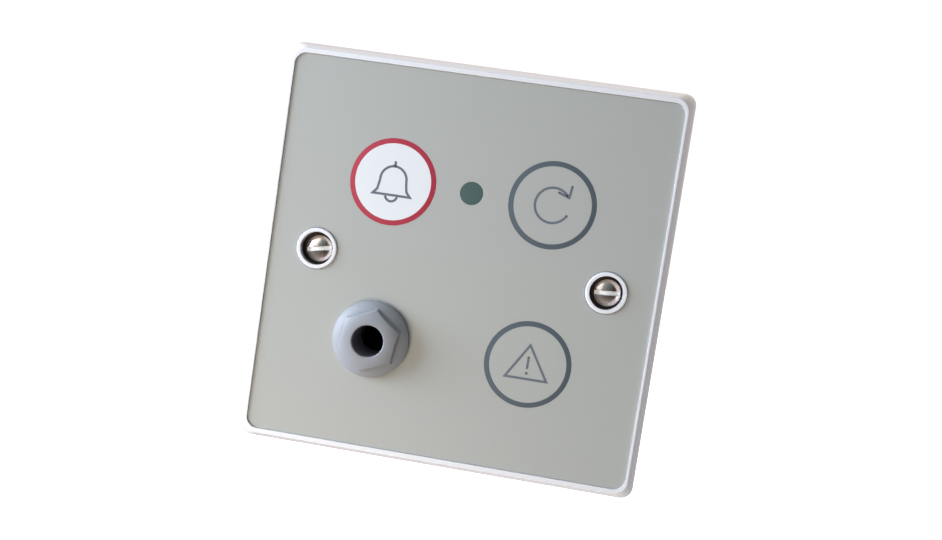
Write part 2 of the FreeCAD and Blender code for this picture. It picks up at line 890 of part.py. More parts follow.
def build():
    """Every node of the call point."""
    nodes = {
        "face_plate": face_plate(),
        "overlay_film": overlay_film(),
        "call_field": printed_field(*call_place),
        "indicator_window": indicator_window(),
        "indicator_led": indicator_led(),
        "fixing_screws": Part.Compound([fixing_screw(x, turn) for x, turn in fixings]),
        "circuit_board": circuit_board(),
        "board_screws": Part.Compound([board_screw(x, z) for x, z in pillars]),
        "jack_nut": jack_nut(),
        "jack_housing": jack_housing(),
        "jack_rear_cover": jack_rear_cover(),
        "jack_tip_contact": jack_contact(0, tip_crest_depth),
        "jack_ring_contact": jack_contact(90, ring_crest_depth),
        "jack_sleeve_contact": jack_contact(180, sleeve_crest_depth),
        "jack_links": Part.Compound([link_wire(x, z) for x, z in lead_starts()]),
        "terminal_block": terminal_block(),
        "terminal_clamps": Part.Compound([terminal_clamp(x) for x in way_places]),
        "terminal_screws": Part.Compound([terminal_screw(x) for x in way_places]),
        "controller_chip": controller_chip(),
        "capacitor": capacitor(),
        "resistors": resistors(),
    }
    for key, place in keys.items():
        nodes[key + "_ring"] = printed_ring(*place)
        nodes[key + "_key_pad"] = key_pad(*place)
        nodes[key + "_switch_base"] = switch_base(*place)
        nodes[key + "_switch_cover"] = switch_cover(*place)
        nodes[key + "_switch_stem"] = switch_stem(*place)
        nodes[key + "_switch_dome"] = switch_dome(*place)
    return nodes


os.makedirs("parts", exist_ok=True)
for node, shape in build().items():
    save(node, shape)
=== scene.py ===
"""Emergency call point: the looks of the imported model. Metres, in the frame of the CAD."""
import json
import math

import bmesh
import bpy
from mathutils import Matrix, Vector

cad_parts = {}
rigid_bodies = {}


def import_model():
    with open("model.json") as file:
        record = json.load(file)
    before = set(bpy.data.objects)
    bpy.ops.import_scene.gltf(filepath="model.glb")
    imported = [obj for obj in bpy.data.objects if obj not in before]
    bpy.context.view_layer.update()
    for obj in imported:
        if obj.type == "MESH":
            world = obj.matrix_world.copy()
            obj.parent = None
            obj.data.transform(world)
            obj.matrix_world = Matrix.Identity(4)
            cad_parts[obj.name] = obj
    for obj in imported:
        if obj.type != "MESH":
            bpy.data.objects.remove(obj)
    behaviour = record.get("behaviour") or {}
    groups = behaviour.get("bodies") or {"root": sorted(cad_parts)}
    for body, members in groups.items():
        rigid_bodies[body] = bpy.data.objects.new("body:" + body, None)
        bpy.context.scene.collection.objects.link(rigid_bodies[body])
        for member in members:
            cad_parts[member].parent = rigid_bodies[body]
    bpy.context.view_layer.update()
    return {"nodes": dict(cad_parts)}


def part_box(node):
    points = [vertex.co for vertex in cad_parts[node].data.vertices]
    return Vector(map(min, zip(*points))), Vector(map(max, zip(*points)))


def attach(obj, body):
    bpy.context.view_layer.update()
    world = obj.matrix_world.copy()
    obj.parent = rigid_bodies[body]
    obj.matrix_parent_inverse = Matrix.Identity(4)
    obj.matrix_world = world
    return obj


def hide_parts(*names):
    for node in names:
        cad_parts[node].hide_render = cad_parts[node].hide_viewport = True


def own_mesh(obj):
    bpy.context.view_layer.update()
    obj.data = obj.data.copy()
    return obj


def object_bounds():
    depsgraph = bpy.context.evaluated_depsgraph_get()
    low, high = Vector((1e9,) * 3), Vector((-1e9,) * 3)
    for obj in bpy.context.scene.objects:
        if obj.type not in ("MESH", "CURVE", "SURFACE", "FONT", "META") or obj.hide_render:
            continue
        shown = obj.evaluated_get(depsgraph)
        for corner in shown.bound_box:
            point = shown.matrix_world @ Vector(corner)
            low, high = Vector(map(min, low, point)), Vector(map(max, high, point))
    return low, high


MM = 0.001
FRONT = -1
BACK = 1

# The photograph's camera
camera_place = (11.981 * MM, -154.682 * MM, 8.277 * MM)
camera_turn = (86.9154, -8.5893, 4.2264)
camera_lens = 27.516
camera_sensor = 36.0
camera_range = (5 * MM, 20.0)

# The stage
floor_drop = 60 * MM
floor_size = 6.0
floor_colour = (0.92, 0.92, 0.92, 1.0)
floor_rough = 0.9
floor_glow = 0.75
backdrop_light = 1.05

# Wide lobes of light: direction, colour
studio_lobes = [
    ((0.85, 0.527, 0), (0.44, 0.44, 0.47)),
    ((0, 0.5, 0.866), (1.00, 0.80, 0.66)),
    ((0, 0.2, -0.98), (1.00, 0.95, 0.96)),
    ((-1, 0, 0), (0.12, 0.06, 0.17)),
    ((-0.577, -0.577, 0.577), (0.34, 0.48, 0.54)),
    ((0, -0.707, -0.707), (0.08, 0.07, 0.06)),
]

# Lamps: place, size, power, colour, whether one gives light, whether one is mirrored
lamps = {
    "left_lamp": ((-0.45, -0.13, 0.08), 0.30, 4.55, (0.755, 0.854, 1.0), True, True),
    "low_lamp": ((-0.10, -0.23, -0.14), 0.18, 0.455, (1.0, 0.813, 0.638), True, False),
    "card": ((-0.36, -0.34, 0.28), 0.42, 0.85, (1.0, 0.99, 0.98), False, True),
    "back_lamp": ((-0.30, 0.40, -0.05), 0.30, 1.6, (1.0, 1.0, 1.0), True, True),
}

# Sizes that the film, its keys and the print share
circle_points = 128
small_circle_points = 64
collar_r = 4.25 * MM
film_hole_gap = 0.15 * MM
fixing_spacing = 60.3 * MM
nut_hole_r = 5.05 * MM
film_corner_r = 2.4 * MM
film_edge = 0.04 * MM
ring_line = 1.0 * MM
film_reach = 0.06 * MM
zone_rise = 0.10 * MM
zone_round = 0.3 * MM
zone_rings = (0.35, 0.7)
zone_sharp = 80
window_crown = 0.05 * MM
window_rings = (0.25, 0.5, 0.75, 0.9, 0.97)
ink = 0.012 * MM
legend_line = 0.5 * MM
legend_scale = 1.3
mitre_limit = 0.3

# Socket bore
bore_r = 3.26 * MM
bore_mouth = -10.4 * MM
bore_end = -2.0 * MM

# Moulded nut, as (radius, height over the film) points in millimetres
nut_skirt = [(7.95, 0.9), (6.7, 1.93), (5.3, 2.42)]
nut_crown = [(6.8, 2.42), (5.45, 3.38), (3.6, 3.8)]
nut_foot = [(4.84, 2.42), (4.84, 0.0), (7.95, 0.0)]
nut_inside = [(3.425, 3.8), (3.275, 3.65), (3.275, 3.0), (4.83, 3.0), (4.83, 1.5), (6.8, 1.5)]
nut_flat = 5.66
nut_flat_height = 2.6
nut_lean = 14.0
nut_turn = 22.0
nut_sides = 6
nut_sharp = 16
weld_gap = 0.0001 * MM

# Screw wells and slots
well_r = 3.44 * MM
# Depth behind the plate's front where the painted shade in the wells begins
well_shade_start = 1.6 * MM
well_floor_r = 2.2 * MM
well_seat = -5.6 * MM
slot_depth = 0.9 * MM
# How far below the dome the painted highlight strips in the slots lie
slot_gleam = 0.25 * MM
slot_width = 0.86 * MM
slot_reach = 2.65 * MM
dome_r = 4.65 * MM
slot_angles = (10.5, 4.5)
slot_rows = 12
fixing_shift = 0.3 * MM

# Fixing screw threads
thread_start = -3.0 * MM
thread_r = 1.75 * MM
thread_pitch = 0.6 * MM
thread_depth = 0.3 * MM
thread_crest = 0.15
thread_steps = 24
thread_rows = 8
thread_tip = 0.6 * MM
thread_overlap = 0.05 * MM

# Solder, as (radius, height over the board) points in millimetres
solder_shape = [
    (0.0, 0.82), (0.46, 0.8), (0.5, 0.6), (0.62, 0.34), (0.82, 0.14), (1.1, 0.05), (1.15, 0.0),
]
pad_shape = [(0.75, 0.02), (1.15, 0.02), (1.16, 0.0)]
via_shape = [(0.14, -0.05), (0.16, 0.035), (0.38, 0.035), (0.4, 0.0)]
solder_points = 24
via_points = 16
solder_sharp = 50

# Legs that come through the board
switch_leg_x = 3.25 * MM
switch_leg_z = 2.25 * MM
lamp_leg_pitch = 2.54 * MM
can_leg_pitch = 2.5 * MM
block_pitch = 5.08 * MM
block_ways = 6
link_x = -4.7 * MM
link_z = (-18.35 * MM, -22.25 * MM, -15.55 * MM)

# The chip's legs and the resistors' ends
chip_width = 3.9 * MM
chip_pitch = 1.27 * MM
chip_legs = 8
chip_leg_width = 0.42 * MM
chip_leg_thick = 0.2 * MM
chip_leg_reach = 1.05 * MM
chip_leg_shoulder = 0.9 * MM
chip_toe = 0.15 * MM
resistor_rows = 3
resistor_columns = 2
resistor_length = 2.0 * MM
resistor_width = 1.25 * MM
resistor_end = 0.38 * MM
metal_skin = 0.012 * MM

# White print on the board
silk_line = 0.15 * MM
silk_rise = 0.02 * MM
can_print_r = 3.6 * MM
print_margins = {"controller_chip": 0.45 * MM, "terminal_block": 0.3 * MM}
resistor_margin = 0.3 * MM
pin_mark_gap = 0.9 * MM
pin_mark_r = 0.3 * MM

# Copper, with its routes and vias as (x, z) points in millimetres
track_width = 0.45 * MM
track_rise = 0.0245 * MM
tracks = [
    [(-13.05, 18.15), (-13.05, 20.9)],
    [(-9.0, 21.4), (-6.4, 21.4), (-5.6, 20.6), (-4.445, 20.6)],
    [(-9.0, 24.0), (-7.4, 24.0), (-5.9, 25.5), (-5.9, 27.4), (-4.445, 27.4), (-4.445, 26.4)],
    [(-9.0, 26.6), (-8.0, 26.6), (-6.4, 28.2), (-3.175, 28.2), (-3.175, 26.4)],
    [(-1.17, 15.9), (-1.17, 17.7), (-1.905, 18.5), (-1.905, 21.0)],
    [(1.37, 15.9), (1.37, 17.5), (0.635, 18.3), (0.635, 21.0)],
    [(13.45, 18.15), (11.2, 18.15), (9.6, 19.75), (5.2, 19.75), (4.445, 20.5), (4.445, 21.0)],
    [(19.95, -14.75), (19.95, -13.0), (17.2, -10.2), (17.2, 8.4)]
    + [(8.6, 17.0), (4.5, 18.1), (3.175, 19.4), (3.175, 21.0)],
    [(2.54, 0.0), (2.54, 12.6), (3.6, 13.7), (3.6, 15.8), (1.905, 17.9), (1.905, 21.0)],
    [(-2.54, 0.0), (-2.54, 8.0), (-3.6, 9.1), (-3.6, 16.5), (-3.175, 17.2), (-3.175, 21.0)],
    [(-7.62, 0.0), (-7.62, -5.4), (-4.7, -8.3), (-4.7, -15.55)],
    [(-12.7, 0.0), (-12.7, 6.0), (-19.55, 12.0), (-19.55, 13.65)],
    [(7.62, 0.0), (7.62, -6.5), (0.9, -13.2), (-2.6, -18.35), (-4.7, -18.35)],
    [(12.7, 0.0), (12.7, -9.0), (11.4, -10.3), (11.4, -17.8), (12.6, -19.25), (13.45, -19.25)],
    [(-22.0, 18.0), (-22.0, 25.5), (-19.5, 28.0), (-8.0, 28.9), (-1.905, 28.9), (-1.905, 26.4)],
    [(22.5, 12.0), (22.5, 22.5), (17.5, 27.5), (4.445, 27.5), (4.445, 26.4)],
]
vias = [
    (-13.05, 20.9), (-22.0, 18.0), (22.5, 12.0), (8.4, -22.0),
    (6.0, -24.5), (-0.6, -9.5), (20.5, 3.2), (9.4, 11.0),
]

# Textures: the part of a noise that is used, the roughness of clear coats, and what all film shares
noise_range = (0.3, 0.7)
coat_rough = 0.12
edge_samples = 4
film_skin = {"rough": 0.42, "grain_per_mm": 7.0, "grain_height": 0.0012, "rounding": 0.0}


def clear_scene():
    """Start from an empty scene."""
    for thing in list(bpy.data.objects):
        bpy.data.objects.remove(thing)


def centre_of(node):
    """The middle of a node's box."""
    low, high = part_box(node)
    return (Vector(low) + Vector(high)) / 2


def srgb(red, green, blue):
    """A linear colour from 8-bit values."""
    def channel(value):
        part = value / 255
        return part / 12.92 if part <= 0.04045 else ((part + 0.055) / 1.055) ** 2.4
    return (channel(red), channel(green), channel(blue), 1.0)


def scaled(colour, factor):
    """The same hue, lighter or darker."""
    return tuple(min(1.0, part * factor) for part in colour[:3]) + (1.0,)


# Materials


def blank_material(name):
    """A material with its principled shader and output, and the object's own coordinates."""
    material = bpy.data.materials.new(name)
    material.use_nodes = True
    nodes = material.node_tree.nodes
    nodes.clear()
    output = nodes.new("ShaderNodeOutputMaterial")
    shader = nodes.new("ShaderNodeBsdfPrincipled")
    place = nodes.new("ShaderNodeTexCoord")
    material.node_tree.links.new(shader.outputs["BSDF"], output.inputs["Surface"])
    return material, shader, place


def noise(material, place, per_mm, detail=3.0):
    """A noise texture with so many features a millimetre."""
    texture = material.node_tree.nodes.new("ShaderNodeTexNoise")
    texture.inputs["Scale"].default_value = per_mm / MM
    texture.inputs["Detail"].default_value = detail
    material.node_tree.links.new(place.outputs["Object"], texture.inputs["Vector"])
    return texture.outputs["Fac"]


def spread(material, value, low, high):
    """A 0 to 1 value taken to a range."""
    node = material.node_tree.nodes.new("ShaderNodeMapRange")
    node.inputs["From Min"].default_value, node.inputs["From Max"].default_value = noise_range
    node.inputs["To Min"].default_value = low
    node.inputs["To Max"].default_value = high
    material.node_tree.links.new(value, node.inputs["Value"])
    return node.outputs["Result"]


def two_tone(material, value, first, second):
    """A colour between two by a 0 to 1 value."""
    node = material.node_tree.nodes.new("ShaderNodeMix")
    node.data_type = "RGBA"
    node.inputs["A"].default_value = first
    node.inputs["B"].default_value = second
    material.node_tree.links.new(value, node.inputs["Factor"])
    return node.outputs["Result"]


def relief(material, value, height, rounding):
    """A bump of the given height over edges rounded by the given radius."""
    links = material.node_tree.links
    bump = material.node_tree.nodes.new("ShaderNodeBump")
    bump.inputs["Strength"].default_value = 1.0
    bump.inputs["Distance"].default_value = height
    links.new(value, bump.inputs["Height"])
    if rounding:
        edge = material.node_tree.nodes.new("ShaderNodeBevel")
        edge.samples = edge_samples
        edge.inputs["Radius"].default_value = rounding
        links.new(edge.outputs["Normal"], bump.inputs["Normal"])
    return bump.outputs["Normal"]


def finish(
    name, colour, rough, metal=0.0, drift=0.05, drift_per_mm=0.15, rough_drift=0.05,
    grain_per_mm=3.0, grain_height=0.002, rounding=0.12, coat=0.0, specular=0.5,
):
    """A surface whose colour, roughness and relief all vary a little, at the scale given."""
    material, shader, place = blank_material(name)
    links = material.node_tree.links
    slow = noise(material, place, drift_per_mm)
    grain = noise(material, place, grain_per_mm)
    tone = two_tone(material, slow, scaled(colour, 1 - drift), scaled(colour, 1 + drift))
    links.new(tone, shader.inputs["Base Color"])
    roughness = spread(material, grain, rough - rough_drift, rough + rough_drift)
    links.new(roughness, shader.inputs["Roughness"])
    normal = relief(material, grain, grain_height * MM, rounding * MM)
    links.new(normal, shader.inputs["Normal"])
    shader.inputs["Metallic"].default_value = metal
    shader.inputs["Coat Weight"].default_value = coat
    shader.inputs["Coat Roughness"].default_value = coat_rough
    shader.inputs["Specular IOR Level"].default_value = specular
    return material


# Colour in 8-bit values, then what finish takes; slots of the record and what only this script adds
surfaces = {
    "white_moulding": ((232, 234, 238), dict(
        rough=0.24, drift=0.012, grain_height=0.0015, grain_per_mm=1.2, rough_drift=0.04, coat=0.25)),
    "film_grey": ((174, 177, 173), dict(film_skin, drift=0.012, specular=0.4)),
    "print_white": ((226, 230, 234), dict(film_skin, drift=0.008)),
    "print_red": ((172, 50, 69), dict(film_skin, drift=0.03)),
    "print_slate": ((84, 94, 102), dict(film_skin, drift=0.03)),
    "legend_ink": ((104, 112, 122), dict(film_skin, drift=0.03)),
    "window_tint": ((78, 98, 96), dict(
        rough=0.16, drift=0.05, grain_per_mm=0.6, grain_height=0.0006, rounding=0.0, coat=0.6)),
    "lamp_green": ((120, 190, 130), dict(rough=0.15, drift=0.05, grain_height=0.0004)),
    "nickel": ((206, 190, 178), dict(
        rough=0.24, metal=1.0, drift=0.06, drift_per_mm=0.9, grain_per_mm=5.0, grain_height=0.0018,
        rounding=0.1)),
    # Painted shade: the dark brownish sheet laid in the screw wells where they lie in shade
    "well_shade_paint": ((80, 64, 58), dict(
        rough=0.42, metal=0.35, drift=0.1, drift_per_mm=0.9, grain_per_mm=5.0, grain_height=0.002,
        rounding=0.0)),
    # Painted highlight: the near-white strip set in the screws' slots
    "slot_highlight_paint": ((248, 246, 243), dict(
        rough=0.6, metal=0.1, drift=0.08, drift_per_mm=1.4, grain_per_mm=8.0, grain_height=0.003,
        rounding=0.0)),
    "zinc": ((200, 204, 208), dict(
        rough=0.34, metal=1.0, drift=0.08, drift_per_mm=0.6, grain_per_mm=6.0, grain_height=0.003,
        rounding=0.06)),
    "nut_grey": ((147, 151, 157), dict(
        rough=0.42, drift=0.015, drift_per_mm=0.4, grain_per_mm=4.0, grain_height=0.0012,
        rounding=0.04, specular=0.2)),
    "black_moulding": ((46, 45, 50), dict(rough=0.38, drift=0.1, grain_per_mm=5.0, grain_height=0.003)),
    "spring_metal": ((206, 204, 196), dict(
        rough=0.28, metal=1.0, grain_per_mm=4.0, grain_height=0.002, rounding=0.05)),
    "bore_grey": ((132, 128, 138), dict(rough=0.4, grain_per_mm=3.0, rounding=0.0)),
    "board_green": ((38, 92, 62), dict(
        rough=0.3, drift=0.08, drift_per_mm=0.08, grain_per_mm=2.5, grain_height=0.002, rounding=0.05,
        coat=0.3)),
    "track_green": ((62, 124, 84), dict(
        rough=0.28, drift=0.06, grain_height=0.002, rounding=0.03, coat=0.3)),
    "tinned": ((204, 206, 206), dict(
        rough=0.25, metal=1.0, drift=0.06, drift_per_mm=1.2, grain_per_mm=6.0, grain_height=0.003,
        rounding=0.0)),
    "silk_white": ((226, 228, 222), dict(rough=0.6, grain_height=0.002, rounding=0.0)),
    "pad_white": ((222, 224, 224), dict(rough=0.45, drift=0.02)),
    "cover_steel": ((190, 192, 194), dict(rough=0.3, metal=1.0, grain_per_mm=5.0)),
    "terminal_green": ((46, 132, 74), dict(rough=0.36, drift=0.04, grain_height=0.0025)),
    "chip_black": ((40, 40, 42), dict(
        rough=0.55, drift=0.08, grain_per_mm=9.0, grain_height=0.005, rounding=0.05)),
    "can_black": ((30, 32, 44), dict(rough=0.3, drift=0.06, coat=0.2)),
    "resistor_black": ((36, 34, 34), dict(rough=0.5, drift=0.1, rounding=0.04)),
}


def make_materials():
    """One material for each surface of the table."""
    return {name: finish(name, srgb(*colour), **looks) for name, (colour, looks) in surfaces.items()}


# Mesh building


def new_object(name, mesh, body):
    """Put a mesh in the scene, on a body and with its material slot."""
    piece = bpy.data.objects.new(name, mesh)
    bpy.context.scene.collection.objects.link(piece)
    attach(piece, body)
    return piece


def finished(name, shape, paints, body, sharp=30.0):
    """Turn a bmesh into a piece that is smooth up to the given angle."""
    mesh = bpy.data.meshes.new(name)
    shape.to_mesh(mesh)
    shape.free()
    for paint in paints:
        mesh.materials.append(paint)
    mesh.shade_smooth()
    mesh.set_sharp_from_angle(angle=math.radians(sharp))
    return new_object(name, mesh, body)


def circle(x, z, r, points=circle_points):
    """Points round a circle in the plate's plane."""
    turns = [2 * math.pi * i / points for i in range(points)]
    return [(x + r * math.cos(turn), z + r * math.sin(turn)) for turn in turns]


def round_rectangle(width, height, r, points=12):
    """Points round a rectangle with round corners."""
    loop = []
    for corner, (across, up) in enumerate(((1, 1), (-1, 1), (-1, -1), (1, -1))):
        for i in range(points + 1):
            turn = math.radians(90 * corner + 90 * i / points)
            x = across * (width / 2 - r) + r * math.cos(turn)
            z = up * (height / 2 - r) + r * math.sin(turn)
            loop.append((x, z))
    return loop


def cut_sheet(name, loops, front, thickness, rounding, paint, body, sharp=35):
    """A flat sheet with holes and softened edges, lying in the plate's plane."""
    curve = bpy.data.curves.new(name, "CURVE")
    curve.dimensions = "2D"
    curve.fill_mode = "BOTH"
    curve.extrude = thickness / 2 - rounding
    curve.bevel_depth = rounding
    curve.bevel_resolution = 2
    curve.offset = -rounding
    for loop in loops:
        spline = curve.splines.new("POLY")
        spline.points.add(len(loop) - 1)
        for point, (x, z) in zip(spline.points, loop):
            point.co = (x, z, 0, 1)
        spline.use_cyclic_u = True
    scratch = bpy.data.objects.new(name + "_outline", curve)
    bpy.context.scene.collection.objects.link(scratch)
    mesh = bpy.data.meshes.new_from_object(scratch)
    bpy.data.objects.remove(scratch)
    bpy.data.curves.remove(curve)
    upright = Matrix.Rotation(math.pi / 2, 4, "X")
    mesh.transform(Matrix.Translation((0, front + thickness / 2, 0)) @ upright)
    mesh.name = name
    mesh.materials.clear()
    mesh.materials.append(paint)
    mesh.shade_smooth()
    mesh.set_sharp_from_angle(angle=math.radians(sharp))
    return new_object(name, mesh, body)


def lathe(shape, profile, x, z, steps=circle_points):
    """Turn (radius, depth, paint) points round an axis along the depth, outside facing the front."""
    rings = []
    for r, y, _ in profile:
        if r == 0:
            rings.append([shape.verts.new((x, y, z))] * steps)
        else:
            rings.append([shape.verts.new((px, y, pz)) for px, pz in circle(x, z, r, steps)])
    for inner, outer, (_, _, paint) in zip(rings, rings[1:], profile[1:]):
        for i in range(steps):
            j = (i + 1) % steps
            corners = [inner[i], outer[i], outer[j], inner[j]]
            face = shape.faces.new(list(dict.fromkeys(corners)))
            face.material_index = paint


def ribbon(shape, points, width, y, side, closed=False):
    """A flat stroke along (x, z) points, with mitred turns and round ends."""
    count = len(points)
    edges = []
    for i in range(count):
        before = points[(i - 1) % count] if closed or i > 0 else None
        after = points[(i + 1) % count] if closed or i < count - 1 else None
        here = Vector(points[i])
        into = (here - Vector(before)).normalized() if before else (Vector(after) - here).normalized()
        out = (Vector(after) - here).normalized() if after else into
        middle = (into + out).normalized()
        across = Vector((-middle.y, middle.x)) * (width / 2 / max(mitre_limit, middle.dot(into)))
        pair = [here + across, here - across]
        edges.append([shape.verts.new((p.x, y, p.y)) for p in pair])
    spans = zip(edges, edges[1:] + edges[:1]) if closed else zip(edges, edges[1:])
    faces = [shape.faces.new((a[0], a[1], b[1], b[0])) for a, b in spans]
    if not closed:
        faces.append(round_end(shape, points[0], points[1], edges[0], y, width))
        faces.append(round_end(shape, points[-1], points[-2], edges[-1][::-1], y, width))
    face_towards(faces, side)


def round_end(shape, end, following, edge, y, width, points=8):
    """Half a disc that closes a stroke."""
    out = (Vector(end) - Vector(following)).normalized()
    start = math.atan2(-out.x, out.y)
    rim = []
    for i in range(1, points):
        turn = start - math.pi * i / points
        x = end[0] - width / 2 * math.cos(turn)
        z = end[1] - width / 2 * math.sin(turn)
        rim.append(shape.verts.new((x, y, z)))
    return shape.faces.new([edge[0]] + rim + [edge[1]])


def face_towards(faces, side):
    """Turn flat faces to the front or the back."""
    for face in faces:
        face.normal_update()
        if face.normal.y * side < 0:
            face.normal_flip()


def dot(shape, x, z, r, y, side, points=24):
    """A filled disc."""
    face = shape.faces.new([shape.verts.new((px, y, pz)) for px, pz in circle(x, z, r, points)])
    face_towards([face], side)


def arc(x, z, r, start, end, points=24):
    """Points on an arc, in degrees."""
    turns = [math.radians(start + (end - start) * i / points) for i in range(points + 1)]
    return [(x + r * math.cos(turn), z + r * math.sin(turn)) for turn in turns]


def bar(shape, low, high):
    """A closed box between two corners."""
    size = Vector(high) - Vector(low)
    middle = (Vector(high) + Vector(low)) / 2
    stretch = Matrix.Diagonal((*size, 1.0))
    bmesh.ops.create_cube(shape, size=1.0, matrix=Matrix.Translation(middle) @ stretch)


def in_mm(points):
    """Points given in millimetres, in metres."""
    return [(x * MM, z * MM) for x, z in points]


# The film, its keys and their print


def film_sheet(materials):
    """The printed film with its holes for the collars, the nut, the window and the key zones."""
    low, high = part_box("overlay_film")
    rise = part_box("call_ring")[1].y
    width = high.x - low.x + 2 * film_reach
    height = high.z - low.z + 2 * film_reach
    loops = [round_rectangle(width, height, film_corner_r)]
    for side in (-1, 1):
        loops.append(circle(side * fixing_spacing / 2, 0, collar_r + film_hole_gap))
    nut = centre_of("jack_nut")
    window = centre_of("indicator_window")
    loops.append(circle(nut.x, nut.z, nut_hole_r))
    loops.append(circle(window.x, window.z, window_r()))
    for key in keys:
        middle = centre_of(key + "_ring")
        loops.append(circle(middle.x, middle.z, ring_r(key)))
    sheet = cut_sheet(
        "film_sheet", loops, rise, high.y - rise, film_edge, materials["film_grey"], "plate"
    )
    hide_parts("overlay_film")


def ring_r(key):
    """The outer radius of a key's ring."""
    low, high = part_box(key + "_ring")
    return (high.x - low.x) / 2


def window_r():
    """The radius of the indicator's window."""
    low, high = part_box("indicator_window")
    return (high.x - low.x) / 2


def soft_corner(before, corner, after, radius, points=5):
    """Points on a curve that rounds a corner of a profile."""
    start = corner + (before - corner).normalized() * radius
    end = corner + (after - corner).normalized() * radius
    curve = []
    for i in range(points + 1):
        t = i / points
        curve.append(start * (1 - t) ** 2 + corner * 2 * t * (1 - t) + end * t**2)
    return curve


def key_zone(key, materials):
    """The raised zone of the film over a key: its field, and the ring printed on its slope."""
    middle = centre_of(key + "_ring")
    outer = ring_r(key)
    inner = outer - ring_line
    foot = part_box(key + "_ring")[1].y
    top = foot - zone_rise
    middle_top, shoulder = Vector((0, top)), Vector((inner, top))
    toe, beyond = Vector((outer, foot)), Vector((outer + ring_line, foot))
    upper = soft_corner(middle_top, shoulder, toe, zone_round)
    lower = soft_corner(shoulder, toe, beyond, zone_round)
    half = len(upper) // 2
    profile = [(0, top, 0)]
    profile += [(inner * part, top, 0) for part in zone_rings]
    profile += [(point.x, point.y, 0) for point in upper[:half]]
    profile += [(point.x, point.y, 1) for point in upper[half:] + lower[:half]]
    profile.append((outer, foot, 1))
    shape = bmesh.new()
    lathe(shape, profile, middle.x, middle.z)
    bmesh.ops.recalc_face_normals(shape, faces=shape.faces)
    face_out(shape)
    field = "print_white" if key == "call" else "film_grey"
    ring = "print_red" if key == "call" else "print_slate"
    paints = [materials[field], materials[ring]]
    zone = finished(key + "_zone", shape, paints, "plate", zone_sharp)
    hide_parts(*[node for node in (key + "_ring", key + "_field") if node in printed_nodes])
    return zone


def face_out(shape):
    """Turn an open skin's faces towards the front."""
    total = sum((face.normal.y * face.calc_area() for face in shape.faces), 0.0)
    if total > 0:
        bmesh.ops.reverse_faces(shape, faces=shape.faces)


def bell_legend(shape, x, z, y):
    """A bell in outline."""
    body = [(-3.0, -2.1), (-2.35, -1.35), (-2.15, -0.2)]
    body += arc(0, 0.35, 2.1, 180, 0, 16)
    body += [(2.15, -0.2), (2.35, -1.35), (3.0, -2.1)]
    stroke(shape, body, x, z, y, closed=True)
    stroke(shape, arc(0, -2.15, 0.95, 200, 340, 10), x, z, y)
    stroke(shape, [(0, 2.6), (0, 3.1)], x, z, y)


def turn_legend(shape, x, z, y):
    """An arrow that goes round, for reset."""
    stroke(shape, arc(0, 0, 2.75, 42, 330, 36), x, z, y)
    stroke(shape, [(0.75, 2.1), (2.4, 1.5), (2.6, 3.25)], x, z, y)


def alert_legend(shape, x, z, y):
    """A triangle with an exclamation stroke."""
    stroke(shape, [(-3.3, -2.3), (3.3, -2.3), (0, 3.1)], x, z, y, closed=True)
    stroke(shape, [(0, 1.1), (0, -0.5)], x, z, y)
    dot(shape, x, z - 1.4 * legend_scale * MM, legend_line * 0.65, y, FRONT)


def stroke(shape, points, x, z, y, closed=False):
    """A legend's stroke, from points in millimetres round the key's centre."""
    unit = legend_scale * MM
    ribbon(shape, [(x + px * unit, z + pz * unit) for px, pz in points], legend_line, y, FRONT, closed)


legends = {"call": bell_legend, "reset": turn_legend, "alert": alert_legend}


def key_legend(key, materials):
    """The key's line picture, printed on its field."""
    middle = centre_of(key + "_ring")
    shape = bmesh.new()
    legends[key](shape, middle.x, middle.z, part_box(key + "_ring")[1].y - zone_rise - ink)
    return finished(key + "_legend", shape, [materials["legend_ink"]], "plate")


def window_lens(materials):
    """The tinted window, a little crowned, with a soft rim."""
    low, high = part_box("indicator_window")
    middle = centre_of("indicator_window")
    r = window_r()
    profile = [(0, low.y, 0)]
    profile += [(r * part, low.y + window_crown * part**4, 0) for part in window_rings]
    profile += [(r, low.y + 2 * window_crown, 0), (r, high.y, 0), (0, high.y, 0)]
    shape = bmesh.new()
    lathe(shape, profile, middle.x, middle.z, small_circle_points)
    bmesh.ops.recalc_face_normals(shape, faces=shape.faces)
    lens = finished("window_lens", shape, [materials["window_tint"]], "plate")
    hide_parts("indicator_window")


# Fixing screws


def painted_well_shade(materials):
    """Painted shade: dark brownish sheets over the lower walls and floors of the two screw wells, where
    the wells lie in shade.
    """
    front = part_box("face_plate")[0].y
    shape = bmesh.new()
    for side in (-1, 1):
        floor = [(well_floor_r, well_seat - ink, 0), (well_r, well_seat - ink, 0)]
        wall = [(well_r, front + well_shade_start, 0)]
        lathe(shape, floor + wall, side * fixing_spacing / 2, 0, small_circle_points)
    finished("painted_well_shade", shape, [materials["well_shade_paint"]], "plate")


def painted_slot_highlights(materials):
    """Painted highlight: near-white strips in the screws' slots, which follow the dome a little below
    it, shallower than the slots' floors, standing in for light on them.
    """
    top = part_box("fixing_screws")[0].y
    shape = bmesh.new()
    for side, angle in zip((-1, 1), slot_angles):
        along = Vector((math.cos(math.radians(angle)), math.sin(math.radians(angle))))
        across = Vector((-along.y, along.x)) * slot_width / 2
        centre = Vector((side * fixing_spacing / 2 + fixing_shift, 0))
        rows = []
        for i in range(slot_rows + 1):
            r = slot_reach * (2 * i / slot_rows - 1)
            fall = dome_r - math.sqrt(dome_r**2 - r**2)
            y = top + min(fall + slot_gleam, slot_depth - ink)
            point = centre + along * r
            rows.append([shape.verts.new((p.x, y, p.y)) for p in (point + across, point - across)])
        faces = [shape.faces.new((a[0], a[1], b[1], b[0])) for a, b in zip(rows, rows[1:])]
        face_towards(faces, FRONT)
    finished("painted_slot_highlights", shape, [materials["slot_highlight_paint"]], "plate")


